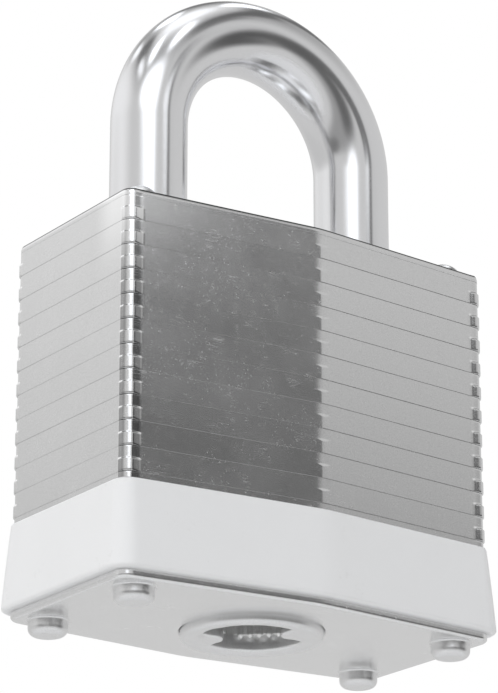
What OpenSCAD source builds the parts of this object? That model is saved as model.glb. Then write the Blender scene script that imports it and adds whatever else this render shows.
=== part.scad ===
// Laminated steel padlock with a plastic bumper round its foot and a warded keyway underneath.
// The origin is the middle of the flat bottoms of the rivet heads; +Z runs up through the shackle.

/* [Body] */
// Width across the flat sides
body_w = 44.2; // [43.6:0.2:48]
// Depth at the flat sides
side_d = 20.8; // [20.6:0.2:23]
// Depth at the central ridges of the bent front and back
ridge_d = 24.5; // [24:0.5:26]
// Thickness of one lamination
plate_t = 2.57; // [2.5:0.01:2.65]
// Thickness of the thin cover on top of the laminations
cover_t = 0.75; // [0.5:0.05:1.2]
// Thickness of the bottom plate
bottom_t = 2.77; // [2.6:0.01:3]
// Corner radius of a lamination's upper band, the cover and the bottom plate
band_r = 1.45; // [1.4:0.05:1.8]
// Corner radius of a lamination's lower skirt, which stands out a little at the corners
skirt_r = 1.25; // [1:0.05:1.4]

/* [Rivets] */
// Diameter of a rivet head
head_d = 4.0; // [3.6:0.2:4.2]
// Height of a lower rivet head, which is flat with a rounded edge
head_h = 1.6; // [1.4:0.1:2]
// Radius of a lower rivet head's edge
head_edge_r = 0.8; // [0.3:0.1:1]
// Height of an upper rivet head, which is a dome
dome_h = 1.45; // [1.2:0.05:1.8]
// Diameter of a rivet shank
shank_d = 3.2; // [2.8:0.2:3.2]
// Half the rivet spacing across the width
rivet_x = 19.08; // [19:0.02:19.2]
// Half the rivet spacing across the depth
rivet_y = 7.78; // [7.7:0.02:7.8]

/* [Shackle] */
// Diameter of the shackle bar
bar_d = 8.0; // [7.8:0.1:8]
// Distance between the centre lines of the two legs
leg_gap = 25.9; // [25.7:0.1:26.1]
// Height of the shackle's outer crown above the body
crown_h = 29.1; // [26:0.5:40]
// Lift from closed to fully open
lift = 13.6; // [13.4:0.1:13.6]
// Diameter of the neck that the retainer holds
neck_d = 5.5; // [5.1:0.1:5.6]

/* [Bumper] */
// Height of the bumper's top edge above the bottom plate's lower face
bumper_top = 9.83; // [8:0.1:13]
// Height of the bumper's rim above the bottom plate's lower face
bumper_rim = 0.88; // [0.8:0.02:1]
// Stand-off of the bumper's wall from the body at its top
bumper_top_off = 0.42; // [0.35:0.05:0.8]
// Stand-off of the bumper's wall from the body at its rim
bumper_rim_off = 1.15; // [1:0.05:1.5]

/* [Keyway] */
// Diameter of the keyhole collar
collar_d = 14.4; // [14:0.1:14.6]
// How far the collar stands below the bottom plate
collar_proud = 0.85; // [0.6:0.05:1.2]
// Diameter of the round part of the keyhole
keyhole_d = 10.4; // [10.3:0.1:10.6]
// Gap between the tips of the two keyhole lobes
lobe_gap = 5.9; // [5.85:0.05:6]
// Radius of a lobe's nose
lobe_r = 1.5; // [1.2:0.1:1.8]
// Turn of the key blade's slot from the depth axis
key_turn = -45; // [-60:5:-30]
// Width of the first ward's slot
ward_w = 6.1; // [6.1:0.1:6.4]
// Length of the first ward's slot
ward_l = 8.9; // [8.6:0.1:8.9]

/* [Hidden] */
$fn = 64;
EPS = 0.01;
FIT = 0.05;             // radial fit of a fixed pin in its hole
RUN = 0.1;              // radial running clearance of the shackle in its bores
POCKET = 0.2;           // clearance round a part in its pocket
REACH = 10;             // length of a cutting block that runs out past the part
PLATE_COUNT = 14;
band_h = 1.15;          // height of the upper band of each lamination
band_ridge_r = 12;      // ridge radius of the upper band
skirt_ridge_r = 3;      // ridge radius of the lower skirt
cover_bevel = 0.15;     // step of the top cover's upper edge
a = body_w / 2;
b = side_d / 2;
c = ridge_d / 2;
tilt = atan((c - b) / a);       // lean of a front or back facet
z0 = head_h;                    // the bottom plate's lower face
heel = [-leg_gap / 2, 0];
toe = [leg_gap / 2, 0];
bar_r = bar_d / 2;
bore_r = bar_r + RUN;
body_h = bottom_t + PLATE_COUNT * plate_t + cover_t;
arch_z = z0 + body_h + crown_h - bar_r - leg_gap / 2;

// Bottom plate: the flange that stands out under the bumper, with two small steps on its lower edge
flange_lip = 0.19;
flange_step_z = [0.15, 0.35];
flange_step_in = [0.2, 0.06];

// Bumper
bumper_edge_r = 0.35;
bumper_rim_r = band_r + 1;      // corner radius at the rim
bumper_top_r = band_r + 0.4;    // corner radius at the top
bumper_bevel_h = 0.3;
bumper_bevel_w = 0.2;
bumper_fit = 0.02;
SKIN = 0.05;                    // thickness of the slices that the bumper is stretched over

// Levels inside the stack, above the bottom plate's lower face
function plate_z(i) = bottom_t + (i - 1) * plate_t;
retainer_level = 10;
lever_level = 11;
guide_level = 12;
retainer_z = plate_z(retainer_level);
lever_z = plate_z(lever_level);
guide_z = plate_z(guide_level);

// Shackle features, above the bottom plate's lower face
button_h = 2.5;
button_top = retainer_z - lift - 0.05;
button_z = button_top - button_h;
retainer_t = plate_t - 0.12;
retainer_back = 4.4;            // from the heel's axis to the retainer's open side
retainer_front = 7.0;           // from the heel's axis to its closed side
retainer_half = 5.4;            // half its width
neck_top = retainer_z + retainer_t + 0.05;
notch_z = lever_z - 0.07;
notch_h = plate_t + 0.13;
notch_y = 2.6;                  // half the thickness left between the toe's two notches
toe_z = retainer_z + 0.4;
end_chamfer = 0.5;

// Locking levers: flat strips on one pin, one above the other
lever_t = 0.95;
lever_gap = 0.28;
lever_in = bar_r + 0.7;
lever_w = 1.25;
lever_out = lever_in + lever_w;
lever_end = leg_gap / 2 + 3;
pin = [-18.9, 0];
pin_r = 0.8;
knuckle_r = 1.5;
knuckle_gap = 0.3;
pocket_y = lever_out + 0.25;
pocket_end = 17;
pin_foot = 1;                   // depth of the pin's seat below the top of the retainer's lamination
pin_head = 2;                   // depth of its seat in the lamination above the levers

// Springs
wire_r = 0.35;
coil_r = 2.9;
coil_turns = 7;
coil_sides = 6;
coil_steps = 14;
clip_in = 4.9;
clip_w = 0.8;
clip_reach = 0;                 // x of the clip's bent-down ends
clip_y = lever_out + FIT;
clip_recess_h = 1.0;
clip_z = 0.1;                   // height of the clip above the floor of its lamination
clip_foot = 0.2;                // height of its bent-down ends above the levers' floor
clip_half = clip_y + clip_w + POCKET;

// Keyway
collar_seam = 1.0;              // height of the joint between the collar and the first ward
collar_flange = 0.5;
flange_r = 8.1;
collar_edge_r = 0.55;
chamber_r = 5.4;
slot_w = 3.2;
slot_l = 9.2;
slot_hub_r = 2.2;
lobe_flare = 3.1;               // half width of a lobe at the keyhole's edge
lobe_root = [0.45, 0.8];        // where a lobe's straight sides leave its nose, as shares of the nose radius
rib_r = 0.3;
rib_tip_r = 0.05;
rib_tip_h = 0.4;
rib_pitch = 0.98;
rib_count = 5;

steel = [0.66, 0.67, 0.68];
bright = [0.82, 0.83, 0.85];
dark = [0.45, 0.46, 0.48];

function lamination_name(i) = str("lamination_", i < 10 ? "0" : "", i);

// ---------- outline shared by the plates and the bumper ----------

// One rounded corner of the outline: v is the sharp corner, t0 and t1 are its two edges' normals
function corner(v, t0, t1, off, r, steps) =
    let (n0 = [cos(t0), sin(t0)], n1 = [cos(t1), sin(t1)],
         centre = v + (off - r) * (n0 + n1) / (1 + n0 * n1))
    [for (i = [0:steps]) let (t = t0 + (t1 - t0) * i / steps) centre + r * [cos(t), sin(t)]];

// The six-sided plan of the body, moved out by off, with corner radius r and ridge radius rr
function plan(off, r, rr) = concat(
    corner([0, -c], -90 - tilt, -90 + tilt, off, rr, 3),
    corner([a, -b], -90 + tilt, 0, off, r, 6),
    corner([a, b], 0, 90 - tilt, off, r, 6),
    corner([0, c], 90 - tilt, 90 + tilt, off, rr, 3),
    corner([-a, b], 90 + tilt, 180, off, r, 6),
    corner([-a, -b], 180, 270 - tilt, off, r, 6));

module slab(z, h, off, r, rr) {
    translate([0, 0, z0 + z]) linear_extrude(h) polygon(plan(off, r, rr));
}

// A hole or shaft along Z at point p
module post(p, r, z, h) {
    translate([p[0], p[1], z0 + z]) cylinder(r = r, h = h);
}

module at_rivets() {
    for (sx = [-1, 1], sy = [-1, 1]) translate([sx * rivet_x, sy * rivet_y, 0]) children();
}

module rivet_holes(z, h) {
    at_rivets() post([0, 0], shank_d / 2 + FIT, z, h);
}

// ---------- laminations ----------

module lamination_blank(z) {
    slab(z, plate_t - band_h, 0, skirt_r, skirt_ridge_r);
    slab(z + plate_t - band_h, band_h, 0, band_r, band_ridge_r);
}

// The key's way through one lamination: round chambers and slotted wards take turns
module key_way(i) {
    z = plate_z(i) - EPS;
    h = plate_t + 2 * EPS;
    if (i < lever_level) {
        if (i % 2 == 1)
            post([0, 0], chamber_r, z, h);
        else {
            post([0, 0], slot_hub_r, z, h);
            rotate([0, 0, key_turn]) translate([-slot_w / 2, -slot_l / 2, z0 + z]) cube([slot_w, slot_l, h]);
        }
    }
}

module retainer_pocket() {
    half = retainer_half + POCKET;
    length = retainer_back + retainer_front + 2 * POCKET;
    translate([heel[0] - retainer_back - POCKET, -half, z0 + retainer_z - EPS])
        cube([length, 2 * half, plate_t + 2 * EPS]);
}

module lever_pocket() {
    z = lever_z - EPS;
    h = plate_t + 2 * EPS;
    post(heel, pocket_y + 0.1, z, h);
    post(pin, knuckle_r + knuckle_gap, z, h);
    translate([heel[0], -pocket_y, z0 + z]) cube([pocket_end - heel[0], 2 * pocket_y, h]);
    translate([clip_reach - clip_w, -clip_half, z0 + z]) cube([2 * clip_w, 2 * clip_half, h]);
}

module clip_recess() {
    post(heel, pocket_y, guide_z - EPS, clip_recess_h + EPS);
    translate([heel[0], -clip_half, z0 + guide_z - EPS])
        cube([clip_reach + clip_w - heel[0], 2 * clip_half, clip_recess_h + EPS]);
}

module lamination(i) {
    z = plate_z(i);
    color(steel) difference() {
        lamination_blank(z);
        rivet_holes(z - EPS, plate_t + 2 * EPS);
        post(heel, bore_r, z - EPS, plate_t + 2 * EPS);
        if (i >= retainer_level) post(toe, bore_r, z - EPS, plate_t + 2 * EPS);
        key_way(i);
        if (i == retainer_level) {
            retainer_pocket();
            post(pin, pin_r + FIT, z + plate_t - pin_foot, plate_t);
        }
        if (i == lever_level) lever_pocket();
        if (i == guide_level) {
            clip_recess();
            post(pin, pin_r + FIT, z - EPS, pin_head + EPS);
        }
    }
}

module top_cover() {
    z = plate_z(PLATE_COUNT + 1);
    color(steel) difference() {
        union() {
            slab(z, cover_t / 2, 0, band_r, band_ridge_r);
            slab(z + cover_t / 2, cover_t / 2, -cover_bevel, band_r, band_ridge_r);
        }
        rivet_holes(z - EPS, cover_t + 2 * EPS);
        post(heel, bore_r, z - EPS, cover_t + 2 * EPS);
        post(toe, bore_r, z - EPS, cover_t + 2 * EPS);
    }
}

module bottom_plate() {
    lip = flange_lip;
    low = flange_step_z[0];
    high = flange_step_z[1];
    color(steel) difference() {
        union() {
            slab(0, low, lip - flange_step_in[0], band_r, band_ridge_r);
            slab(low, high - low, lip - flange_step_in[1], band_r, band_ridge_r);
            slab(high, bumper_rim - high, lip, band_r, band_ridge_r);
            slab(bumper_rim, bottom_t - bumper_rim, 0, band_r, band_ridge_r);
        }
        rivet_holes(-EPS, bottom_t + 2 * EPS);
        post([0, 0], collar_d / 2 + FIT, -EPS, bottom_t + 2 * EPS);
        post([0, 0], flange_r + FIT, collar_flange, bottom_t);
    }
}

// ---------- keyway ----------

// The round keyhole less its two rounded lobes, which stop the key's turn
module keyhole_outline() {
    tip = lobe_gap / 2;
    root = [tip + lobe_r * lobe_root[0], lobe_r * lobe_root[1]];
    rim = keyhole_d / 2;
    difference() {
        circle(d = keyhole_d);
        for (side = [0, 180]) rotate(side) {
            translate([tip + lobe_r, 0]) circle(lobe_r);
            polygon([root, [root[0], -root[1]],
                     [rim, -lobe_flare], [2 * rim, -lobe_flare],
                     [2 * rim, lobe_flare], [rim, lobe_flare]]);
        }
    }
}

module keyhole_collar() {
    r = collar_d / 2;
    h = collar_proud + collar_seam;
    color(bright) difference() {
        translate([0, 0, z0 - collar_proud]) union() {
            rotate_extrude() union() {
                square([r - collar_edge_r, h]);
                translate([0, collar_edge_r]) square([r, h - collar_edge_r]);
                translate([r - collar_edge_r, collar_edge_r]) circle(collar_edge_r);
            }
            translate([0, 0, collar_proud + collar_flange])
                cylinder(r = flange_r, h = collar_seam - collar_flange);
        }
        rotate([0, 0, key_turn]) translate([0, 0, -EPS])
            linear_extrude(z0 + collar_seam + 2 * EPS) keyhole_outline();
    }
}

// Ribs of the first ward: half-round, with pointed lower ends that hang past the plate
module ward_ribs() {
    rib_h = bottom_t - collar_seam;
    for (side = [-1, 1], k = [0:rib_count - 1])
        translate([(k - (rib_count - 1) / 2) * rib_pitch, side * ward_l / 2, z0 + collar_seam])
            rotate_extrude()
                polygon([[0, -rib_tip_h], [rib_tip_r, -rib_tip_h], [rib_r, 0], [rib_r, rib_h], [0, rib_h]]);
}

module ward_plate() {
    color(dark) rotate([0, 0, key_turn]) union() {
        difference() {
            post([0, 0], flange_r, collar_seam, bottom_t - collar_seam);
            translate([-ward_w / 2, -ward_l / 2, z0]) cube([ward_w, ward_l, bottom_t + EPS]);
        }
        ward_ribs();
    }
}

// ---------- bumper ----------

module bumper() {
    color("white") difference() {
        hull() {
            slab(bumper_rim, SKIN, bumper_rim_off - bumper_edge_r, bumper_rim_r, band_ridge_r);
            slab(bumper_rim + bumper_edge_r, SKIN, bumper_rim_off, bumper_rim_r, band_ridge_r);
            slab(bumper_top - bumper_bevel_h, SKIN, bumper_top_off, bumper_top_r, band_ridge_r);
            slab(bumper_top - SKIN, SKIN, bumper_top_off - bumper_bevel_w, bumper_top_r, band_ridge_r);
        }
        slab(bumper_rim - 1, bumper_top + 1, bumper_fit, skirt_r, skirt_ridge_r);
    }
}

// ---------- rivets ----------

module rivet_head() {
    r = head_d / 2;
    rotate_extrude() union() {
        square([r - head_edge_r, head_h]);
        translate([0, head_edge_r]) square([r, head_h - head_edge_r]);
        translate([r - head_edge_r, head_edge_r]) circle(head_edge_r);
    }
}

module rivet_dome() {
    r = head_d / 2;
    ball_r = (r * r + dome_h * dome_h) / (2 * dome_h);
    intersection() {
        translate([0, 0, dome_h - ball_r]) sphere(ball_r);
        cylinder(r = r + 1, h = dome_h + 1);
    }
}

module rivets() {
    color(bright) at_rivets() union() {
        rivet_head();
        translate([0, 0, head_h / 2]) cylinder(d = shank_d, h = z0 + body_h - head_h / 2 + dome_h / 2);
        translate([0, 0, z0 + body_h]) rivet_dome();
    }
}

// ---------- shackle ----------

// Chamfered lower end of the leg at point p
module leg_end(p, z) {
    translate([p[0], p[1], z0 + z]) cylinder(r1 = bar_r - end_chamfer, r2 = bar_r, h = end_chamfer);
}

module shackle() {
    color(bright) difference() {
        union() {
            translate([0, 0, arch_z]) rotate([90, 0, 0]) rotate_extrude(angle = 180)
                translate([leg_gap / 2, 0]) circle(bar_r);
            post(heel, bar_r, neck_top, arch_z - z0 - neck_top);
            post(heel, neck_d / 2, button_z, neck_top - button_z + EPS);
            post(heel, bar_r, button_z + end_chamfer, button_h - end_chamfer);
            leg_end(heel, button_z);
            post(toe, bar_r, toe_z + end_chamfer, arch_z - z0 - toe_z - end_chamfer);
            leg_end(toe, toe_z);
        }
        for (side = [-1, 1])
            translate([toe[0] - REACH / 2, side > 0 ? notch_y : -notch_y - REACH, z0 + notch_z])
                cube([REACH, REACH, notch_h]);
    }
}

// Compression spring under the heel: a round wire swept along a helix
function coil_point(t, ang) =
    let (turn = 360 * t, r = coil_r + wire_r * cos(ang))
    [r * cos(turn), r * sin(turn),
     wire_r + (button_z - bottom_t - 2 * wire_r) * t / coil_turns + wire_r * sin(ang)];

module shackle_spring() {
    rings = coil_turns * coil_steps;
    points = [for (k = [0:rings], s = [0:coil_sides - 1]) coil_point(k / coil_steps, 360 * s / coil_sides)];
    sides = [for (k = [0:rings - 1], s = [0:coil_sides - 1])
        let (n = (s + 1) % coil_sides, p = k * coil_sides)
        [p + s, p + n, p + coil_sides + n, p + coil_sides + s]];
    first = [for (s = [coil_sides - 1:-1:0]) s];
    last = [for (s = [0:coil_sides - 1]) rings * coil_sides + s];
    color(dark) translate([heel[0], 0, z0 + bottom_t])
        polyhedron(points, concat(sides, [first, last]), convexity = 10);
}

// U-shaped keeper round the neck: the button below it can't pass
module shackle_retainer() {
    slot = neck_d / 2 + 0.2;
    z = z0 + retainer_z;
    color(dark) difference() {
        translate([heel[0] - retainer_back, -retainer_half, z])
            cube([retainer_back + retainer_front, 2 * retainer_half, retainer_t]);
        translate([heel[0], 0, z - EPS]) cylinder(r = slot, h = retainer_t + 2 * EPS);
        translate([heel[0] - REACH, -slot, z - EPS]) cube([REACH, 2 * slot, retainer_t + 2 * EPS]);
    }
}

// ---------- lock work ----------

// A flat lever that passes the heel and lies beside the toe; side is -1 in front and 1 behind
module locking_lever(side, z) {
    color(dark) translate([0, 0, z0 + z]) difference() {
        union() {
            intersection() {
                translate(heel) cylinder(r = lever_out, h = lever_t);
                translate([heel[0] - REACH, side > 0 ? 0 : -REACH, 0]) cube([REACH, REACH, lever_t]);
            }
            translate([heel[0], side > 0 ? lever_in : -lever_out, 0])
                cube([lever_end - heel[0], lever_w, lever_t]);
            translate(pin) cylinder(r = knuckle_r, h = lever_t);
        }
        translate([heel[0], 0, -EPS]) cylinder(r = lever_in, h = lever_t + 2 * EPS);
        translate([pin[0], 0, -EPS]) cylinder(r = pin_r + FIT, h = lever_t + 2 * EPS);
    }
}

module front_locking_lever() {
    locking_lever(-1, lever_z + lever_gap);
}

module rear_locking_lever() {
    locking_lever(1, lever_z + plate_t - lever_gap - lever_t);
}

module lever_pin() {
    color(bright) post(pin, pin_r, lever_z - pin_foot, pin_foot + plate_t + pin_head);
}

// Wire clip round the heel whose bent-down ends press the two levers together
module lever_spring() {
    z = z0 + guide_z + clip_z;
    color(dark) union() {
        difference() {
            translate([heel[0], 0, z]) cylinder(r = clip_in + clip_w, h = clip_w);
            translate([heel[0], 0, z - EPS]) cylinder(r = clip_in, h = clip_w + 2 * EPS);
            translate([heel[0], -REACH, z - EPS]) cube([REACH, 2 * REACH, clip_w + 2 * EPS]);
            post(pin, pin_r + FIT, guide_z, pin_head);
        }
        for (side = [-1, 1]) {
            y_near = side * (clip_in + clip_w / 2);
            y_far = side * (clip_y + clip_w / 2);
            translate([0, 0, z]) linear_extrude(clip_w)
                polygon([[heel[0], y_near - clip_w / 2], [clip_reach + clip_w / 2, y_far - clip_w / 2],
                         [clip_reach + clip_w / 2, y_far + clip_w / 2], [heel[0], y_near + clip_w / 2]]);
            translate([clip_reach - clip_w / 2, y_far - clip_w / 2, z0 + lever_z + clip_foot])
                cube([clip_w, clip_w, plate_t - clip_foot + clip_z + clip_w / 2]);
        }
    }
}

bottom_plate();
keyhole_collar();
ward_plate();
for (i = [1:PLATE_COUNT])
    lamination(i);
top_cover();
bumper();
rivets();
shackle();
shackle_spring();
shackle_retainer();
front_locking_lever();
rear_locking_lever();
lever_pin();
lever_spring();
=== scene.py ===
import math
import random

import bmesh
import bpy
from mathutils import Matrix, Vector, noise


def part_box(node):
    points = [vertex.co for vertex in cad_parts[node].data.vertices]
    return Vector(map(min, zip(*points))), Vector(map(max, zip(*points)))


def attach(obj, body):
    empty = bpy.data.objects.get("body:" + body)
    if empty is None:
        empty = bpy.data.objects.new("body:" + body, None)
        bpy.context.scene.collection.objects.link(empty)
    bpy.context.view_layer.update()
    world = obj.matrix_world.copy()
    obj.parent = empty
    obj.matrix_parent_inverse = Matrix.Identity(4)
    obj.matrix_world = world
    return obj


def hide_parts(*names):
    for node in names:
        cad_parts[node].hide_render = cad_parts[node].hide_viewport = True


# A laminated padlock. Sizes are in millimetres and repeat part.scad; places come from the CAD frame.
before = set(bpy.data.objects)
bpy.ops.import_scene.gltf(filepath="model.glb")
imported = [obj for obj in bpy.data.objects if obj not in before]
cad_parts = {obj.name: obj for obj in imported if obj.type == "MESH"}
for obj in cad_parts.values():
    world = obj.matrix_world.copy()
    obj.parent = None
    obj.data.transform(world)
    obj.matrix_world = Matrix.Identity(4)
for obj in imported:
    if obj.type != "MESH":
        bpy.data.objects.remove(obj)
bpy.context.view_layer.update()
scene = bpy.context.scene
scene.view_settings.view_transform = "Standard"

MM = 0.001
PLATES = 14
SIDE = 44.2 / 2             # half width
EDGE = 20.8 / 2             # half depth at the flat sides
RIDGE = 24.5 / 2            # half depth at the ridges
TILT = math.degrees(math.atan((RIDGE - EDGE) / SIDE))
BAND_H, BAND_R, BAND_RIDGE = 1.15, 1.45, 12.0
SKIRT_RIDGE = 3.0
LIP = 0.19                  # the bottom plate's stand-out under the bumper
HEEL, TOE = (-12.95, 0.0), (12.95, 0.0)
PIN = (-18.9, 0.0)          # the levers' pivot pin
BAR_R, BORE_R, NECK_R = 4.0, 4.1, 2.75
RIVET_R, RIVET_HOLE_R = 2.0, 1.66
FLANGE_R = 8.1              # the collar's flange and the first ward, inside the stack
KEY_TURN = math.radians(-45)


def span(node):
    """A CAD node's lowest and highest level, in millimetres."""
    low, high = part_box(node)
    return low.z / MM, high.z / MM


FOOT = span("bottom_plate")[0]      # the bottom plate's lower face
TOP = span("top_cover")[1]


# ---------- meshes ----------


def new_piece(name, verts, faces, sharp=32.0):
    """A closed mesh object from points in millimetres, smooth but for edges over the sharp angle."""
    mesh = bpy.data.meshes.new(name)
    mesh.from_pydata([[c * MM for c in v] for v in verts], [], faces)
    obj = bpy.data.objects.new(name, mesh)
    scene.collection.objects.link(obj)
    tidy_mesh(obj, sharp)
    return obj


def tidy_mesh(obj, sharp):
    """Welds doubled points, turns the faces outwards and marks the edges that are sharp."""
    bm = bmesh.new()
    bm.from_mesh(obj.data)
    bmesh.ops.remove_doubles(bm, verts=bm.verts, dist=1e-7)
    bmesh.ops.dissolve_degenerate(bm, edges=bm.edges, dist=1e-7)
    bmesh.ops.recalc_face_normals(bm, faces=bm.faces)
    bm.to_mesh(obj.data)
    bm.free()
    for polygon in obj.data.polygons:
        polygon.use_smooth = True
    obj.data.set_sharp_from_angle(angle=math.radians(sharp))


def loft(rings, caps=True):
    """Faces through rings of equal length; the ends are capped, or the last ring joins the first."""
    n = len(rings[0])
    verts = [p for ring in rings for p in ring]
    count = len(rings)
    faces = []
    for k in range(count if not caps else count - 1):
        a, b = k * n, (k + 1) % count * n
        faces += [(a + i, a + (i + 1) % n, b + (i + 1) % n, b + i) for i in range(n)]
    if caps:
        faces += [tuple(range(n)), tuple(range((count - 1) * n, count * n))]
    return verts, faces


def lathe(profile, centre=(0, 0), sides=64):
    """Turns a profile of (radius, height) about the Z axis; a zero radius closes on the axis."""
    verts, faces, rows = [], [], []
    for r, z in profile:
        if r < 1e-6:
            rows.append([len(verts)] * sides)
            verts.append((centre[0], centre[1], z))
        else:
            rows.append(list(range(len(verts), len(verts) + sides)))
            for i in range(sides):
                t = 2 * math.pi * i / sides
                verts.append((centre[0] + r * math.cos(t), centre[1] + r * math.sin(t), z))
    for p, q in zip(rows, rows[1:]):
        for i in range(sides):
            j = (i + 1) % sides
            face = list(dict.fromkeys([p[i], p[j], q[j], q[i]]))
            if len(face) > 2:
                faces.append(face)
    return verts, faces


def arc(cx, cz, r, start, end, steps):
    """Points of an arc in a (radius, height) profile, with angles in degrees."""
    angles = [math.radians(start + (end - start) * k / steps) for k in range(steps + 1)]
    return [(cx + r * math.cos(t), cz + r * math.sin(t)) for t in angles]


def block(x0, x1, y0, y1, z0, z1, turn=0.0):
    """A box, turned about the Z axis."""
    c, s = math.cos(turn), math.sin(turn)
    plan_points = [(x0, y0), (x1, y0), (x1, y1), (x0, y1)]
    rings = [[(c * x - s * y, s * x + c * y, z) for x, y in plan_points] for z in (z0, z1)]
    return loft(rings)


def post(centre, r, z0, z1, sides=64):
    """An upright cylinder."""
    return lathe([(0, z0), (r, z0), (r, z1), (0, z1)], centre, sides)


def carve(obj, shapes, sharp=32.0, how="DIFFERENCE"):
    """Cuts shapes away from obj, or joins them to it, exactly."""
    tools = [new_piece("tool", *shape) for shape in shapes]
    for tool in tools:
        cut = obj.modifiers.new("cut", "BOOLEAN")
        cut.operation, cut.solver, cut.object = how, "EXACT", tool
    graph = bpy.context.evaluated_depsgraph_get()
    mesh = bpy.data.meshes.new_from_object(obj.evaluated_get(graph))
    obj.modifiers.clear()
    obj.data = mesh
    for tool in tools:
        bpy.data.objects.remove(tool)
    tidy_mesh(obj, sharp)
    return obj


# ---------- the outline that the plates and the bumper share ----------

GAP = 0.011         # half the gap between two plates
SEAM = 0.014        # the fine break of a plate's lower edge; the upper one is a third of it
CREST = 0.17        # height of the bright ledge at a corner, where the skirt steps back
BEND = 1.28         # radius of a plate's corner
BEND_BACK = 1.087   # how far behind the facet's end the corner's bend is centred
BEND_STOP = 247     # the angle at which the bend stops short of the facet
BEND_STEPS = 12
SUPPORT = 0.18      # how far the flats' own points stand from a corner, which keeps the flats' shading flat
# the strip beyond the bend: distance along the facet, height of the burr, share of the bead
STRIP = ((0.84, 0.029, 1.0), (1.0, 0.021, 1.0), (1.2, 0.011, 0.85), (1.42, 0.0, 0.5), (1.62, 0.0, 0.16),
         (1.85, 0.0, 0.0), (2.05, 0.0, 0.0))
STRIP_END = 2.05
SQUEEZE = 0.37      # keeps the strip's points in order where the outline is drawn in
RIDGE_STEPS, CORNER_STEPS = 6, 12     # facets round a ridge and round a plain corner


def corner(v, t0, t1, off, r, steps):
    """A rounded corner at v between faces whose normals point along t0 and t1, moved out by off."""
    t0, t1 = math.radians(t0), math.radians(t1)
    n0, n1 = (math.cos(t0), math.sin(t0)), (math.cos(t1), math.sin(t1))
    share = (off - r) / (1 + n0[0] * n1[0] + n0[1] * n1[1])
    cx, cy = v[0] + share * (n0[0] + n1[0]), v[1] + share * (n0[1] + n1[1])
    points = []
    for k in range(steps + 1):
        t = t0 + (t1 - t0) * k / steps
        points.append((cx + r * math.cos(t), cy + r * math.sin(t)))
    first = (points[0][0] + n0[1] * SUPPORT, points[0][1] - n0[0] * SUPPORT)
    last = (points[-1][0] - n1[1] * SUPPORT, points[-1][1] + n1[0] * SUPPORT)
    return [first, *points, last]


def plan(off, r, rr):
    """The six-sided outline, moved out by off, with corner radius r and ridge radius rr."""
    a, b, c, t = SIDE, EDGE, RIDGE, TILT
    corners = (((0, -c), -90 - t, -90 + t, rr, RIDGE_STEPS), ((a, -b), -90 + t, 0, r, CORNER_STEPS),
               ((a, b), 0, 90 - t, r, CORNER_STEPS), ((0, c), 90 - t, 90 + t, rr, RIDGE_STEPS),
               ((-a, b), 90 + t, 180, r, CORNER_STEPS), ((-a, -b), 180, 270 - t, r, CORNER_STEPS))
    return [point for v, t0, t1, radius, steps in corners for point in corner(v, t0, t1, off, radius, steps)]


def pressed_corner(off, bead):
    """The front left corner as the punch leaves it: a bend that stops short at a faint burr, then a strip
    that dies away into the facet. bead is how far it stands out at this level."""
    t = math.radians(TILT)
    points = [(-SIDE - off, -EDGE + BEND_BACK + 2 * SUPPORT), (-SIDE - off, -EDGE + BEND_BACK + SUPPORT)]
    for k in range(BEND_STEPS + 1):
        share = k / BEND_STEPS
        angle = math.radians(180 + (BEND_STOP - 180) * share)
        r = BEND + off + bead * min(1.0, 3 * share)
        points.append((-SIDE + BEND + r * math.cos(angle), -EDGE + BEND_BACK + r * math.sin(angle)))
    for along, burr, weight in STRIP:
        along += SQUEEZE * max(0.0, -off) * (STRIP_END - along)
        out = off + burr + bead * weight
        points.append((-SIDE + along * math.cos(t) - out * math.sin(t),
                       -EDGE - along * math.sin(t) - out * math.cos(t)))
    return points


def plate_plan(off, bead, ridge):
    """A plate's outline at one level: pressed corners, and ridges with the radius given."""
    left = pressed_corner(off, bead)
    right = [(-x, y) for x, y in reversed(left)]
    front = corner((0, -RIDGE), -90 - TILT, -90 + TILT, off, ridge, RIDGE_STEPS)
    half = [*left, *front, *right]
    return half + [(-x, -y) for x, y in half]


def layers(rows, shift=(0, 0), turn=0.0, outline=plan):
    """Rings of an outline from rows that start with the level; the rest is what the outline takes."""
    c, s = math.cos(turn), math.sin(turn)
    return [[(c * x - s * y + shift[0], s * x + c * y + shift[1], row[0]) for x, y in outline(*row[1:])]
            for row in rows]


def shrunk(ring):
    """The ring a little smaller, which holds the shading of a flat end."""
    share = 0.99
    return [(x * share, y * share, z) for x, y, z in ring]


def plate_loft(rows, shift=(0, 0), turn=0.0):
    """A plate's body through the rows, with its ends held flat."""
    rings = layers(rows, shift, turn, plate_plan)
    return loft([shrunk(rings[0]), *rings, shrunk(rings[-1])])


def rivet_places():
    """The rivets' axes, from the box round the four of them."""
    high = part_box("rivets")[1]
    x, y = high.x / MM - RIVET_R, high.y / MM - RIVET_R
    return [(sx * x, sy * y) for sx in (-1, 1) for sy in (-1, 1)]


RIVETS = rivet_places()


def rivet_holes(z0, z1):
    """The four rivets' holes, as shapes to cut away between two levels."""
    return [post(p, RIVET_HOLE_R, z0, z1, 32) for p in RIVETS]


# ---------- laminations ----------


def key_way(i, z0, z1):
    """The key's way through a plate: a round chamber in odd plates, a bored slot in even ones."""
    chamber_r, bore_r, half_w, half_l = 5.4, 2.2, 1.6, 4.6
    if i % 2:
        return [post((0, 0), chamber_r, z0, z1)]
    return [post((0, 0), bore_r, z0, z1), block(-half_w, half_w, -half_l, half_l, z0, z1, KEY_TURN)]


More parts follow.
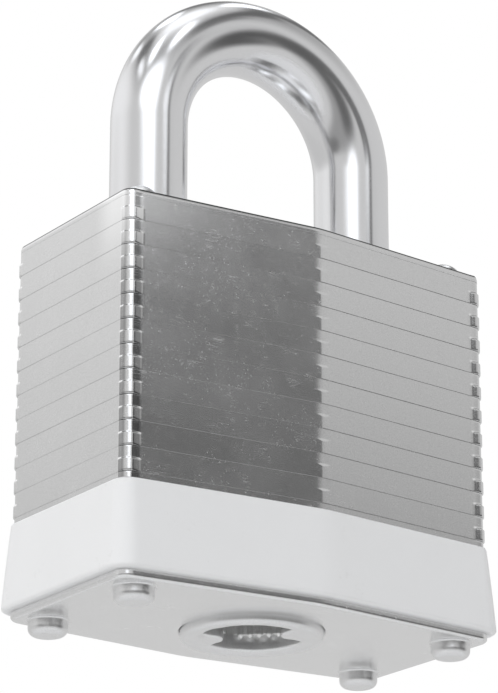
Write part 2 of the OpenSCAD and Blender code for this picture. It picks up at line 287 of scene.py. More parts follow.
def inner_cuts(i, low, z0, z1):
    """Room in a plate for the works: the legs' bores, the key's way, the retainer and the levers."""
    lever_room_r, pin_hole_r = 6.3, 1.8
    cuts = [post(HEEL, BORE_R, z0, z1)]
    if i >= 10:
        cuts.append(post(TOE, BORE_R, z0, z1))
    if i < 11:
        cuts += key_way(i, z0, z1)
    if i == 10:
        cuts.append(block(HEEL[0] - 4.6, HEEL[0] + 7.2, -5.6, 5.6, z0, z1))
    if i == 11:
        cuts += [post(HEEL, lever_room_r, z0, z1), post(PIN, pin_hole_r, z0, z1),
                 block(HEEL[0], 17.0, -6.2, 6.2, z0, z1), block(-0.8, 0.8, -7.0, 7.0, z0, z1)]
    if i == 12:
        cuts += [post(HEEL, lever_room_r, z0, low + 1.03), block(HEEL[0], 0.8, -7.0, 7.0, z0, low + 1.0)]
    return cuts


# the ledge over a skirt and the bead's way into the band: level as a share of CREST, share of the bead
LEDGE = ((-0.08, 1.0), (-0.04, 0.97), (0.0, 0.85), (0.85, 0.1), (1.0, 0.02), (1.25, 0.0))


def lamination(i):
    """One punched plate: its lower edge rolls in at the corners, and its skirt stands out there."""
    name = f"lamination_{i:02d}"
    low, high = span(name)
    step = high - BAND_H
    bead, sunk = 0.14, -0.01                # how far the skirt and the band stand out at a corner
    roll_h, roll_w, roll_steps = 0.20, 0.05, 5
    ridge_gain = 7                          # how much rounder the ridge gets over the ledge
    rows = [(low + GAP, -SEAM, bead - roll_w, SKIRT_RIDGE)]
    for k in range(1, roll_steps + 1):
        t = math.radians(90 / roll_steps * k)
        rows.append((low + GAP + SEAM + roll_h * (1 - math.cos(t)), 0, bead - roll_w * (1 - math.sin(t)),
                     SKIRT_RIDGE))
    rows += [(low + roll_h + 0.12, 0, bead, SKIRT_RIDGE), (step - CREST - 0.16, 0, bead, SKIRT_RIDGE)]
    for z, share in LEDGE:
        rows.append((step - CREST * (1 - z), 0, sunk + (bead - sunk) * share,
                     SKIRT_RIDGE + ridge_gain * max(0, z)))
    rows += [(step + 0.14, 0, sunk, BAND_RIDGE), (high - 0.2, 0, sunk, BAND_RIDGE),
             (high - 0.1, 0, sunk, BAND_RIDGE), (high - GAP - SEAM / 3, 0, sunk - 0.01, BAND_RIDGE),
             (high - GAP, -SEAM / 3, sunk - 0.02, BAND_RIDGE)]
    play, twist = 0.008, 0.05               # how loosely a plate sits on the rivets, in mm and degrees
    dice = random.Random(i)
    shift = (dice.uniform(-play, play), dice.uniform(-play, play))
    turn = math.radians(dice.uniform(-twist, twist))
    obj = new_piece(f"plate_{i:02d}", *plate_loft(rows, shift, turn))
    z0, z1 = low - 1, high + 1
    return carve(obj, rivet_holes(z0, z1) + inner_cuts(i, low, z0, z1)), name


def top_cover():
    """The thin cover, whose upper edge is drawn over."""
    low, high = span("top_cover")
    round_r, slope_h, slope = 0.2, 0.22, 16
    lean = slope_h * math.tan(math.radians(slope))
    rows = [(low + GAP, -SEAM, 0), (low + GAP + SEAM, 0, 0), (low + 0.12, 0, 0),
            (high - round_r - slope_h - 0.06, 0, 0), (high - round_r - slope_h, 0, 0)]
    rows += [(z, x - lean, 0) for x, z in arc(-round_r, high - round_r, round_r, 12, 90, 6)]
    rows = [(*row, BAND_RIDGE) for row in rows]
    obj = new_piece("cover_plate", *plate_loft(rows))
    bevel = 0.2                             # eases the mouth of each bore
    bore = [(0, low - 1), (BORE_R, low - 1), (BORE_R, high - bevel), (BORE_R + 2 * bevel, high + bevel),
            (0, high + bevel)]
    return carve(obj, rivet_holes(low - 1, high + 1) + [lathe(bore, leg) for leg in (HEEL, TOE)])


def bottom_plate():
    """The thick plate at the foot, whose lower edge is rounded and stands out under the bumper."""
    low, high = span("bottom_plate")
    radii = (BAND_R, BAND_RIDGE)
    rim = span("bumper")[0]
    round_r = 0.35
    profile = [(low, LIP - round_r - 0.2)]
    profile += [(z, x) for x, z in arc(LIP - round_r, low + round_r, round_r, -90, 0, 7)]
    profile += [(low + round_r + 0.08, LIP), (rim - 0.12, LIP), (rim - 0.05, LIP), (rim, LIP - 0.05),
                (rim, 0), (high - GAP, 0)]
    obj = new_piece("base_plate", *loft(layers([(z, off, *radii) for z, off in profile])))
    hole_r, bevel, step, seat_r = 7.27, 0.15, 0.5, FLANGE_R + 0.05
    seat = [(0, low - 1), (hole_r + bevel, low - 1), (hole_r + bevel, low - 0.001), (hole_r, low + bevel),
            (hole_r, low + step), (seat_r, low + step), (seat_r, high + 1), (0, high + 1)]
    return carve(obj, rivet_holes(low - 1, high + 1) + [lathe(seat, sides=96)])


def bumper():
    """The moulded shell round the foot: drafted walls, round rim and a soft top edge."""
    rim, top = span("bumper")
    r_rim, r_top, r_inner = BAND_R + 1.0, BAND_R + 0.4, 1.2
    inner, rim_off, top_off = 0.03, 1.15, 0.42
    edge, lip, crown = 0.35, 0.26, 0.03     # the rim's and the top edge's radius, the wall's slight swell

    def radius(z):
        return r_rim + (r_top - r_rim) * (z - rim) / (top - rim)

    def wall(z):
        share = (z - rim - edge) / (top - lip - rim - edge)
        return rim_off + (top_off - rim_off) * share

    profile = [(rim, inner), (rim, inner + 0.15), (rim, rim_off - edge - 0.1)]
    profile += [(z, x) for x, z in arc(rim_off - edge, rim + edge, edge, -90, 0, 7)]
    levels = [rim + edge + 0.12, rim + 2.4, rim + 4.4, rim + 6.4, top - lip - 0.12]
    profile += [(z, wall(z) + crown * math.sin(math.pi * (z - rim) / (top - rim))) for z in levels]
    profile += [(z, x) for x, z in arc(top_off - lip, top - lip, lip, 0, 90, 6)]
    profile += [(top - 0.03, inner + 0.03), (top - 0.1, inner), (rim + 3, inner)]
    rows = [(z, off, radius(z) if off > 0.5 * top_off else r_inner, BAND_RIDGE) for z, off in profile]
    return new_piece("bumper_shell", *loft(layers(rows), caps=False), sharp=40)


# ---------- rivets, collar and ward ----------


def rivet_set():
    """The four rivets: a flat head with a round edge below, and the hammered dome above the cover."""
    low, high = span("rivets")
    r, edge, shank, fillet, squeeze = RIVET_R, 0.8, 1.6, 0.22, 0.01
    ball = (r * r + (high - TOP) ** 2) / (2 * (high - TOP))
    profile = [(0, low + 0.03), (0.8, low + 0.02), (r - edge - 0.12, low)]
    profile += arc(r - edge, low + edge, edge, -90, 0, 7)
    profile += [(r, low + edge + 0.06), *arc(r + fillet, FOOT - fillet - 0.004, fillet, 180, 90, 5)]
    profile += [(r + fillet, FOOT), (shank, FOOT), (shank, TOP), (r * 0.985, TOP)]
    start = math.degrees(math.asin((TOP + 0.03 - (high - ball)) / ball))
    profile += [*arc(0, high - ball, ball, start, 89, 12), (0, high)]
    verts, faces = [], []
    for k, place in enumerate(RIVETS):
        dice = random.Random(40 + k)
        squash = 1 + dice.uniform(-squeeze, squeeze)
        v, f = lathe(profile, sides=48)
        base = len(verts)
        verts += [(x * squash + place[0], y / squash + place[1], z) for x, y, z in v]
        faces += [[base + q for q in face] for face in f]
    return new_piece("rivet_set", verts, faces, sharp=40)


def keyhole(theta):
    """Distance from the middle to the keyhole's edge in the direction theta, from the slot's own axis."""
    hole, tip, nose, flare = 5.2, 5.9 / 2, 1.5, 3.1
    t = abs((theta + math.pi / 2) % math.pi - math.pi / 2)
    centre = tip + nose
    root = (tip + 0.45 * nose, 0.8 * nose)
    if t <= math.atan2(root[1], root[0]):
        return centre * math.cos(t) - math.sqrt(max(0.0, nose ** 2 - (centre * math.sin(t)) ** 2))
    dx, dy = hole - root[0], flare - root[1]
    reach = (root[0] * dy - root[1] * dx) / (math.cos(t) * dy - math.sin(t) * dx) if t < 0.6 else hole
    return min(hole, reach if reach > 0 else hole)


def keyhole_points(count=240):
    """The keyhole's edge as (distance, angle) pairs."""
    return [(keyhole(2 * math.pi * k / count), 2 * math.pi * k / count) for k in range(count)]


def keyhole_ring(grow, level):
    """The keyhole's outline moved out by grow at a level, or at a level that depends on the radius."""
    flat = [(r * math.cos(t), r * math.sin(t)) for r, t in keyhole_points()]
    n = len(flat)
    ring = []
    for k, (x, y) in enumerate(flat):
        (x0, y0), (x1, y1) = flat[(k - 2) % n], flat[(k + 2) % n]
        length = math.hypot(x1 - x0, y1 - y0)
        px, py = x + grow * (y1 - y0) / length, y - grow * (x1 - x0) / length
        z = level(math.hypot(px, py)) if callable(level) else level
        ring.append((px, py, z))
    return ring


def circle_ring(r, z):
    """A circle with the keyhole ring's count of points."""
    return [(r * math.cos(t), r * math.sin(t), z) for _, t in keyhole_points()]


def turned(rings, turn, wave=0.0):
    """The rings turned about the Z axis; wave is how far the metal is rippled by wear."""
    c, s = math.cos(turn), math.sin(turn)
    out = []
    for ring in rings:
        row = []
        for x, y, z in ring:
            dx, dy, dz = (wave * noise.noise(Vector((x * 0.9, y * 0.9, z * 0.4 + 7 * k))) for k in range(3))
            x, y, z = x + dx, y + dy, z + dz
            row.append((c * x - s * y, s * x + c * y, z))
        out.append(row)
    return out


def collar():
    """The keyhole's collar: a round boss with a dished face and a rounded mouth."""
    low, high = span("keyhole_collar")
    r, edge, mouth = 7.2, 0.55, 0.22
    sink, sink_w = 0.24, 1.7                # the dish's depth and the width of its slope

    def dish(radius):
        share = min(1.0, max(0.0, (r - edge - radius) / sink_w))
        return low + sink * share * share * (3 - 2 * share)

    inner = [keyhole_ring(0, high), keyhole_ring(0, low + 0.9), keyhole_ring(0, low + sink + mouth)]
    for k in range(1, 5):
        t = math.radians(90 * k / 4)
        drop = mouth * math.sin(t)
        inner.append(keyhole_ring(mouth * (1 - math.cos(t)), lambda q, d=drop: dish(q) + mouth - d))
    inner.append(keyhole_ring(mouth + 0.12, dish))
    face = []
    outline = keyhole_ring(mouth + 0.12, 0)
    for share in (0.3, 0.6, 0.85):
        ring = []
        for (x, y, _), (cx, cy, _) in zip(outline, circle_ring(r - edge - 0.1, 0)):
            px, py = x + (cx - x) * share, y + (cy - y) * share
            ring.append((px, py, dish(math.hypot(px, py))))
        face.append(ring)
    rings = turned(inner + face, KEY_TURN, wave=0.045)
    outer = [circle_ring(r - edge - 0.1, low)]
    outer += [circle_ring(q, z) for q, z in arc(r - edge, low + edge, edge, -90, 0, 7)]
    outer += [circle_ring(r, low + edge + 0.1), circle_ring(r, FOOT + 0.5),
              circle_ring(FLANGE_R, FOOT + 0.5), circle_ring(FLANGE_R, high)]
    rings += turned(outer, KEY_TURN)
    return new_piece("collar_ring", *loft(rings, caps=False), sharp=38)


def ward_insert():
    """The first ward: a disc with a slot whose ribs end in drops that hang below it."""
    high = span("ward_plate")[1]
    seam = FOOT + 1.0
    half_w, half_l, rib_pitch = 3.4, 4.45, 0.98
    obj = new_piece("ward_disc", *post((0, 0), FLANGE_R, seam, high, 96))
    carve(obj, [block(-half_w, half_w, -half_l, half_l, seam - 1, high + 1, KEY_TURN)])
    drop = [(0, seam - 0.42), (0.07, seam - 0.41), (0.2, seam - 0.3), (0.31, seam - 0.16),
            (0.33, seam - 0.04), (0.3, seam + 0.08), (0.3, high - 0.01), (0, high - 0.01)]
    c, s = math.cos(KEY_TURN), math.sin(KEY_TURN)
    ribs = []
    for side in (-1, 1):
        for k in range(5):
            x, y = (k - 2) * rib_pitch, side * half_l
            ribs.append(lathe(drop, (c * x - s * y, s * x + c * y), 20))
    return carve(obj, ribs, how="UNION", sharp=40)


# ---------- shackle ----------


def shackle():
    """The bar swept from the toe's end over the arch to the heel's neck and button."""
    low, high = span("shackle")
    sides, steps = 72, 96
    radius = abs(TOE[0])
    arch = high - BAR_R - radius
    retainer = span("shackle_retainer")
    levers = span("lamination_11")
    notch_y = 2.6                           # half the thickness left between the toe's notches
    toe = retainer[0] + 0.4
    neck_top = retainer[1] + 0.05
    button_top = low + 2.5
    fillet = 0.3

    def disc(x, z, r, lean=0.0):
        points = []
        for k in range(sides):
            t = 2 * math.pi * k / sides
            out = r * math.cos(t)
            points.append((x + out * math.cos(lean), r * math.sin(t), z + out * math.sin(lean)))
        return points

    rings = [disc(TOE[0], toe, BAR_R - 0.62), disc(TOE[0], toe, BAR_R - 0.5)]
    rings += [disc(TOE[0], toe + 0.5, BAR_R), disc(TOE[0], toe + 0.6, BAR_R)]
    rings += [disc(TOE[0], toe + (arch - toe) * k / 8, BAR_R) for k in range(1, 8)]
    for k in range(steps + 1):
        t = math.pi * k / steps
        rings.append(disc(radius * math.cos(t), arch + radius * math.sin(t), BAR_R, t))

    def back(x, z, r):
        return disc(x, z, r, math.pi)

    x = HEEL[0]
    rings += [back(x, arch + (neck_top + 0.5 - arch) * k / 8, BAR_R) for k in range(1, 9)]
    rings += [back(x, neck_top + 0.25, BAR_R), back(x, neck_top + 0.12, BAR_R - 0.12)]
    rings += [back(x, neck_top, BAR_R - 0.25), back(x, neck_top, NECK_R + fillet)]
    rings += [back(x, neck_top - fillet, NECK_R), back(x, neck_top - fillet - 0.1, NECK_R)]
    rings += [back(x, button_top + fillet + 0.1, NECK_R), back(x, button_top + fillet, NECK_R)]
    rings += [back(x, button_top, NECK_R + fillet), back(x, button_top, BAR_R - 0.2)]
    rings += [back(x, button_top - 0.2, BAR_R), back(x, low + 0.5, BAR_R), back(x, low, BAR_R - 0.5)]
    obj = new_piece("shackle_bar", *loft(rings))
    z0, z1 = levers[0] - 0.07, levers[1] + 0.06
    notches = [block(TOE[0] - 5, TOE[0] + 5, *sorted((y, 3 * y)), z0, z1) for y in (-notch_y, notch_y)]
    return carve(obj, notches)


# ---------- materials ----------


class Graph:
    """Short calls for building a node tree."""

    def __init__(self, tree):
        self.tree = tree

    def node(self, kind, inputs=None, **settings):
        made = self.tree.nodes.new("ShaderNode" + kind)
        for key, value in settings.items():
            setattr(made, key, value)
        for key, value in (inputs or {}).items():
            self.put(made.inputs[key], value)
        return made

    def put(self, socket, value):
        if isinstance(value, bpy.types.NodeSocket):
            self.tree.links.new(value, socket)
        else:
            socket.default_value = value

    def math(self, how, *values, clamp=False):
        """A Math node's result; the values are numbers or sockets."""
        made = self.tree.nodes.new("ShaderNodeMath")
        made.operation, made.use_clamp = how, clamp
        for socket, value in zip(made.inputs, values):
            self.put(socket, value)
        return made.outputs[0]

    def step(self, value, low, high, to_low=0.0, to_high=1.0):
        """A smooth change from to_low at low to to_high at high."""
        made = self.node("MapRange", {"Value": value, "From Min": low, "From Max": high,
                                      "To Min": to_low, "To Max": to_high}, interpolation_type="SMOOTHSTEP")
        return made.outputs["Result"]

    def between(self, value, a, b, c, d):
        """One between b and c, nothing below a or above d."""
        return self.math("MULTIPLY", self.step(value, a, b), self.step(value, c, d, 1.0, 0.0))

    def noise(self, vector, scale, detail=2.0, rough=0.5, warp=0.0):
        made = self.node("TexNoise", {"Vector": vector, "Scale": scale, "Detail": detail,
                                      "Roughness": rough, "Distortion": warp})
        return made.outputs["Fac"]

    def mix(self, share, a, b):
        """Colour a where share is nothing, colour b where it is one."""
        made = self.tree.nodes.new("ShaderNodeMix")
        made.data_type = "RGBA"
        self.put(made.inputs[0], share)
        self.put(made.inputs[6], a)
        self.put(made.inputs[7], b)
        return made.outputs[2]

    def centred(self, value):
        """A value from 0 to 1, moved to lie round zero."""
        return self.math("SUBTRACT", value, 0.5)

    def dress(self, shader, colour, roughness, height, strength, distance):
        """Wires the colour, the roughness and the bump to a shader."""
        bump = self.node("Bump", {"Height": height, "Strength": strength, "Distance": distance})
        self.put(shader.inputs["Base Color"], colour)
        self.put(shader.inputs["Roughness"], roughness)
        self.put(shader.inputs["Normal"], bump.outputs[0])

    def place(self):
        """The point in millimetres, in the object's own frame."""
        coords = self.node("TexCoord").outputs["Object"]
        return self.node("VectorMath", {0: coords, 3: 1 / MM}, operation="SCALE").outputs[0]

    def stretched(self, vector, turn, scale):
        return self.node("Mapping", {"Vector": vector, "Rotation": turn, "Scale": scale}).outputs[0]


def start_material(name):
    """A material with an empty graph but for its shader, wired to the output."""
    material = bpy.data.materials.new(name)
    material.use_nodes = True
    material.node_tree.nodes.clear()
    g = Graph(material.node_tree)
    shader = g.node("BsdfPrincipled")
    g.node("OutputMaterial", {"Surface": shader.outputs[0]})
    return material, g, shader


def scratches(g, point, turn, fineness, width, chop=0.35, rarity=0.55):
    """Thin straight lines, broken up along their length."""
    along = g.stretched(point, turn, (0.05, fineness, fineness))
    line = g.math("ABSOLUTE", g.centred(g.noise(along, 1.0, 1.0)))
    breaks = g.step(g.noise(point, chop, 2.0), rarity, rarity + 0.13)
    return g.math("MULTIPLY", g.step(line, 0.0, width, 1.0, 0.0), breaks)


def handling(g, point, wear):
    """Scuffs in patches, short nicks all over and a few long scratches, from nothing to wear."""
    patch = g.step(g.noise(point, 0.22, 3.0, 0.6, 0.3), 0.44, 0.57)
    marks = g.step(g.noise(point, 3.8, 7.0, 0.85, 0.1), 0.575, 0.635)
    nicks = g.math("MAXIMUM", scratches(g, point, (0.8, 0.2, 1.3), 4.4, 0.014, 0.9, 0.54),
                   scratches(g, point, (-0.6, 1.1, 0.4), 5.0, 0.014, 1.1, 0.54))
    scuff = g.math("MAXIMUM", g.math("MULTIPLY", patch, marks), g.math("MULTIPLY", nicks, 0.8))
    lines = g.math("MAXIMUM", scratches(g, point, (0.3, 0.9, 0.5), 3.1, 0.012),
                   scratches(g, point, (1.2, -0.4, 2.1), 2.7, 0.010))
    return g.math("MULTIPLY", g.math("MAXIMUM", scuff, lines), wear)


def plate_sheen_and_painted_light(g, point, colour, roughness):
    """Each plate's own sheen in its roughness, painted dark reflection lines and painted highlights by the
    corners, and a painted shade line in the cover's rim.
    """
    dark, painted_rim_shade, white = (0.08, 0.08, 0.08, 1), (0.04, 0.04, 0.04, 1), (1, 1, 1, 1)
    lot_spread, facet_gain, dark_line_share, rim_shade_share = 0.02, 1.2, 0.55, 0.93
    x, y, height = g.node("SeparateXYZ", {0: point}).outputs
    low, high = span("lamination_01")
    pitch = high - low
    stack = g.math("DIVIDE", g.math("SUBTRACT", height, low), pitch)
    inside = g.math("FRACT", stack)
    lot = g.node("TexWhiteNoise", {"W": g.math("FLOOR", stack)}, noise_dimensions="1D").outputs["Value"]
    roughness = g.math("MULTIPLY_ADD", g.centred(lot), lot_spread, roughness)
    # painted dark reflection lines on both sides of the front left corner and of the one across from it
    across = g.math("SUBTRACT", g.math("ABSOLUTE", x), SIDE - BEND)
    along = g.math("SUBTRACT", g.math("ABSOLUTE", y), EDGE - BEND_BACK)
    angle = g.math("DEGREES", g.math("ARCTAN2", along, across))
    reach = g.math("SQRT", g.math("MULTIPLY_ADD", across, across, g.math("MULTIPLY", along, along)))
    outer = g.step(reach, BEND - 0.18, BEND - 0.14)
    by_side = g.math("MULTIPLY", g.between(angle, 3, 7, 29, 42), outer)
    by_facet = g.math("MULTIPLY", g.between(across, -0.62, -0.2, 0.42, 0.47),
                      g.step(along, BEND_BACK - 0.2, BEND_BACK - 0.1))
    by_facet = g.math("MULTIPLY", by_facet, facet_gain)
    diagonal = g.step(g.math("MULTIPLY", x, y), 0, 1)
    painted_dark_lines = g.math("MULTIPLY", g.math("MAXIMUM", by_side, by_facet),
                    g.math("MULTIPLY", diagonal, dark_line_share))
    colour = g.mix(painted_dark_lines, colour, dark)
    # a painted highlight on the ledge over each skirt, near a corner
    top, fade = 1 - (BAND_H + 0.02) / pitch, 0.03 / pitch
    ledge = g.between(inside, top - CREST / pitch - fade, top - CREST / pitch, top, top + fade)
    near = g.math("MULTIPLY", g.between(across, -0.6, -0.4, BEND + 0.1, BEND + 0.2),
                  g.step(along, 0.0, 0.12))
    colour = g.mix(g.math("MULTIPLY", ledge, near), colour, white)
    # a painted highlight: the upper left of the front is made the brightest
    high_up = g.math("MULTIPLY", g.step(y, -4, -8), g.step(height, 31, TOP))
    colour = g.mix(g.math("MULTIPLY", g.step(x, -9, -21), high_up), colour, white)
    # painted shade: a dark line in the turned edge of the cover
    rim = g.between(height, TOP - 0.22, TOP - 0.18, TOP - 0.03, TOP - 0.01)
    return g.mix(g.math("MULTIPLY", rim, rim_shade_share), colour, painted_rim_shade), roughness


def metal(name, tint, dark_tint, rough, grain=0.06, wear=0.6, bump=0.12, with_plate_sheen_and_light=False, spread=0.10):
    """Bare or plated steel: fine grain, cloudy roughness, scuffed patches and scratches; for the plate stack
    also painted highlights and painted shade.
    """
    middle, grain_gain, cloud_gain, rub = 0.62, 45, 0.35, (0.98, 0.98, 0.98, 1)
    material, g, shader = start_material(name)
    point = g.place()
    fine = g.noise(point, 8.0, 3.0, 0.8)
    cloud = g.noise(point, 0.16, 4.0, 0.6)
    worn = handling(g, point, wear)
    shade = g.math("ADD", g.math("MULTIPLY", g.centred(fine), grain * grain_gain),
                   g.math("MULTIPLY", g.centred(cloud), cloud_gain))
    level = g.math("ADD", middle, shade, clamp=True)
    colour = g.mix(level, dark_tint, tint)
    roughness = g.math("ADD", rough, g.math("MULTIPLY", g.centred(cloud), spread))
    # the stack's own roughness per plate, with painted highlights and painted shade in its colour
    if with_plate_sheen_and_light:
        colour, roughness = plate_sheen_and_painted_light(g, point, colour, roughness)
    colour = g.mix(g.math("MULTIPLY", worn, 0.5), colour, rub)
    roughness = g.math("ADD", roughness, g.math("MULTIPLY", worn, 0.25))
    height = g.math("ADD", g.math("MULTIPLY", fine, 0.5), g.math("MULTIPLY", worn, 0.35))
    g.dress(shader, colour, roughness, height, bump, 0.06 * MM)
    shader.inputs["Metallic"].default_value = 1.0
    return material


def plastic(name, tint, dust, rough):
    """Matte moulded plastic: spark-eroded grain, faint clouding, a few dark specks and rubs."""
    material, g, shader = start_material(name)
    point = g.place()
    grain = g.noise(point, 4.2, 4.0, 0.65)
    cloud = g.noise(point, 0.12, 4.0, 0.6)
    specks = g.step(g.noise(point, 2.6, 3.0, 0.8), 0.70, 0.76)
    rubs = g.math("MULTIPLY", g.step(g.noise(point, 0.2, 4.0, 0.6, 0.5), 0.56, 0.70),
                  g.step(g.noise(point, 1.7, 5.0, 0.75), 0.53, 0.62))
    soil = g.math("ADD", g.math("MULTIPLY", specks, 0.35), g.math("MULTIPLY", rubs, 0.10))
    soil = g.math("ADD", soil, g.math("MULTIPLY", g.centred(cloud), 0.10), clamp=True)
    roughness = g.math("ADD", rough, g.math("MULTIPLY", g.centred(cloud), 0.15))
    g.dress(shader, g.mix(soil, tint, dust), roughness, grain, 0.25, 0.08 * MM)
    shader.inputs["Specular IOR Level"].default_value = 0.4
    return material


def finish_with(obj, material, body, slot, *nodes):
    """Gives a piece its material and its body, and hides the CAD nodes that it stands for; slot is not used.
    """
    obj.data.materials.clear()
    obj.data.materials.append(material)
    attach(obj, body)
    if nodes:
        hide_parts(*nodes)


# ---------- camera, floor and light ----------


def camera():
    """A long lens from the front left, below the lock."""
    az, el = math.radians(-35.0), math.radians(-19.2)
    aim, distance = 30.44 * MM, 327.5 * MM
    back = Vector((math.sin(az) * math.cos(el), -math.cos(az) * math.cos(el), math.sin(el)))
    data = bpy.data.cameras.new("camera")
    data.lens = 165.35
    data.sensor_width = 36
    data.shift_x, data.shift_y = -0.00415, 0.01927
    data.clip_start = 0.01
    cam = bpy.data.objects.new("camera", data)
    scene.collection.objects.link(cam)
    cam.location = Vector((0, 0, aim)) + back * distance
    cam.rotation_euler = (-back).to_track_quat("-Z", "Y").to_euler()
    scene.camera = cam


def floor():
    """A plain pale floor, well below the lock because the camera looks up at it."""
    level, fade_start, fade_end = -250, 380, 570     # the fade is by distance from the lock's foot
    obj = new_piece("floor", *lathe([(r, level) for r in (0, 120, 260, 520)]))
    material, g, shader = start_material("floor_pale")
    point = g.place()
    reach = g.node("VectorMath", {0: point}, operation="LENGTH").outputs["Value"]
    shader.inputs["Base Color"].default_value = (0.88, 0.88, 0.88, 1)
    shader.inputs["Roughness"].default_value = 0.8
    clear = g.node("BsdfTransparent")
    fade = g.step(reach, fade_start, fade_end)
    both = g.node("MixShader", {0: fade, 1: shader.outputs[0], 2: clear.outputs[0]})
    out = next(n for n in material.node_tree.nodes if n.type == "OUTPUT_MATERIAL")
    g.put(out.inputs["Surface"], both.outputs[0])
    obj.data.materials.append(material)


# Soft boxes and dark flags round the lock: azimuth from +X towards +Y, elevation, half width, half
# height, tilt (all in degrees), softness of the edge, and level
STUDIO = [
    (148, 62, 26, 7, -4, 0.5, 0.16), (297, 50, 12, 8, 0, 0.5, 0.18), (330, 58, 40, 5, 7, 0.5, 0.14),
    (18, 50, 24, 4.5, -28, 0.5, 0.16), (60, 48, 9, 9, 0, 0.6, 0.2), (92, 43, 12, 3.5, 0, 0.6, 0.24),
    (235, 35, 27, 13, 0, 0.35, 1.7), (240, 22, 12, 9, 0, 0.6, 1.5), (268, 62, 15, 9, 20, 0.35, 1.9),
    (206, 64, 14, 9, -25, 0.35, 1.9), (180, 52, 15, 3.5, -15, 0.5, 1.3), (28, 62, 15, 7, -20, 0.35, 1.9),
    (86, 63, 15, 8, 25, 0.35, 1.9), (112, 51, 13, 3.5, 12, 0.5, 1.4),
    (130, 31, 34, 14, 0, 0.8, 0.96), (125, 4, 30, 14, 0, 0.6, 0.62), (312, -2, 16, 16, 0, 0.5, 0.10),
    (238, -7, 60, 15, 0, 0.35, 0.34), (192, -2, 16, 7, 0, 0.6, 0.2), (268, -2, 24, 8, 0, 0.6, 0.13),
    (294, 8, 9, 18, 0, 0.45, 0.12), (290, 21, 9.7, 13, 0, 0.2, 0.15), (286.7, 25.3, 8.2, 4, 0, 0.25, 1.2),
]


def studio():
    """The light all round: a pale base that varies with height, then the boxes and flags."""
    world = bpy.data.worlds.new("studio")
    scene.world = world
    world.use_nodes = True
    world.node_tree.nodes.clear()
    g = Graph(world.node_tree)
    ray = g.node("TexCoord").outputs["Generated"]
    parts = g.node("SeparateXYZ", {0: ray}).outputs
    rise = g.math("DEGREES", g.math("ARCSINE", parts[2]))
    level = g.step(rise, 30, 52, 0.66, 0.42)
    for start, end, gain in ((60, 74, 0.34), (72, 80, 0.5)):
        level = g.math("ADD", level, g.step(rise, start, end, 0.0, gain))
    bearing = g.math("DEGREES", g.math("ARCTAN2", parts[1], parts[0]))
    for az, el, wide, tall, tilt, soft, value in STUDIO:
        da = g.math("WRAP", g.math("SUBTRACT", bearing, az), 180.0, -180.0)
        de = g.math("SUBTRACT", rise, el)
        c, s = math.cos(math.radians(tilt)), math.sin(math.radians(tilt))
        u = g.math("MULTIPLY_ADD", da, c / wide, g.math("MULTIPLY", de, s / wide))
        v = g.math("MULTIPLY_ADD", de, c / tall, g.math("MULTIPLY", da, -s / tall))
        reach = g.math("MULTIPLY_ADD", u, u, g.math("MULTIPLY", v, v))
        mask = g.step(reach, (1 - soft) ** 2, (1 + soft) ** 2, 1.0, 0.0)
        level = g.math("MULTIPLY_ADD", mask, g.math("SUBTRACT", value, level), level)
    hot = g.step(level, 0.8, 1.6)
    colour = g.mix(hot, (1.0, 1.0, 1.0, 1), (0.97, 1.0, 1.05, 1))
    lit = g.node("Background", {"Color": colour, "Strength": level})
    white = g.node("Background", {"Color": (1, 1, 1, 1), "Strength": 1.0})
    seen = g.node("LightPath").outputs["Is Camera Ray"]
    both = g.node("MixShader", {0: seen, 1: lit.outputs[0], 2: white.outputs[0]})
    g.node("OutputWorld", {"Surface": both.outputs[0]})


def soft_light(name, azimuth, height, size, power):
    """A large soft lamp that lights the matte plastic; what the steel reflects is the studio."""
    distance, aim = 0.8, Vector((0, 0, 0.03))
    data = bpy.data.lights.new(name, "AREA")
    data.shape, data.size, data.energy = "DISK", size, power
    lamp = bpy.data.objects.new(name, data)
    scene.collection.objects.link(lamp)
    t = math.radians(azimuth)
    lamp.location = (distance * math.cos(t), distance * math.sin(t), height)
    lamp.rotation_euler = (aim - lamp.location).to_track_quat("-Z", "Y").to_euler()
    lamp.visible_camera = lamp.visible_glossy = False


camera()
studio()
floor()
soft_light("fill_left", 185, 0.10, 0.6, 1.4)
soft_light("fill_front", 275, 0.05, 0.6, 0.85)
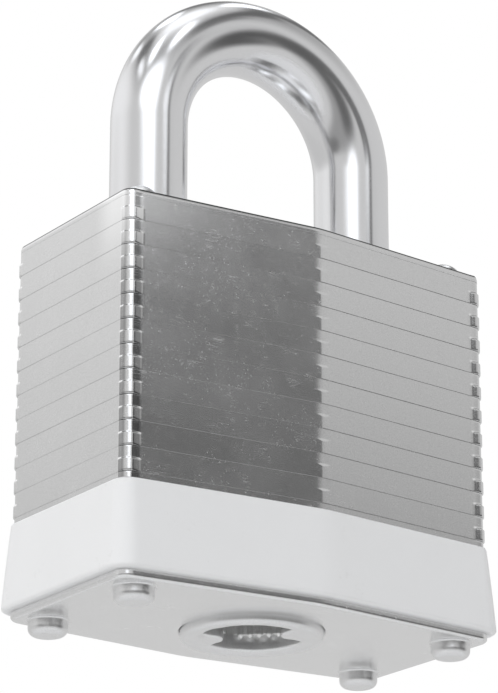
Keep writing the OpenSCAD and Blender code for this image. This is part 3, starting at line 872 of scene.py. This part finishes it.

# the stack's steel also gets painted highlights and painted shade in its colour
STEEL = metal("laminated_steel", (0.83, 0.83, 0.83, 1), (0.70, 0.70, 0.70, 1), 0.16, bump=0.04, with_plate_sheen_and_light=True)
PLATE = metal("plate_steel", (0.90, 0.90, 0.90, 1), (0.76, 0.76, 0.76, 1), 0.21, wear=0.3)
CHROME = metal("shackle_chrome", (0.86, 0.86, 0.87, 1), (0.78, 0.78, 0.79, 1), 0.16, grain=0.03, wear=0.25,
               bump=0.04, spread=0.05)
RIVET = metal("rivet_steel", (0.88, 0.88, 0.88, 1), (0.74, 0.74, 0.74, 1), 0.30, wear=0.4)
COLLAR = metal("collar_steel", (0.88, 0.88, 0.88, 1), (0.74, 0.74, 0.74, 1), 0.36, wear=0.35)
WARD = metal("ward_steel", (0.96, 0.96, 0.95, 1), (0.80, 0.80, 0.79, 1), 0.50, wear=0.5)
LEVER = metal("lever_steel", (0.66, 0.65, 0.62, 1), (0.42, 0.40, 0.37, 1), 0.30, wear=0.7)
SPRING = metal("spring_steel", (0.60, 0.60, 0.62, 1), (0.40, 0.40, 0.42, 1), 0.28, wear=0.4)
WHITE = plastic("bumper_plastic", (0.90, 0.90, 0.90, 1), (0.45, 0.44, 0.42, 1), 0.45)

for number in range(1, PLATES + 1):
    plate, node = lamination(number)
    finish_with(plate, STEEL, "body", "laminated_steel", node)
finish_with(top_cover(), STEEL, "body", "laminated_steel", "top_cover")
finish_with(bottom_plate(), PLATE, "body", "plate_steel", "bottom_plate")
finish_with(bumper(), WHITE, "body", "bumper_plastic", "bumper")
finish_with(rivet_set(), RIVET, "body", "rivet_steel", "rivets")
finish_with(collar(), COLLAR, "body", "plate_steel", "keyhole_collar")
finish_with(ward_insert(), WARD, "body", "ward_steel", "ward_plate")
finish_with(shackle(), CHROME, "shackle", "shackle_steel", "shackle")

CARRIED = {"shackle_spring": SPRING, "lever_spring": SPRING, "lever_pin": LEVER, "shackle_retainer": LEVER,
           "front_locking_lever": LEVER, "rear_locking_lever": LEVER}
for node, material in CARRIED.items():
    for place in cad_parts[node].material_slots:
        place.material = material
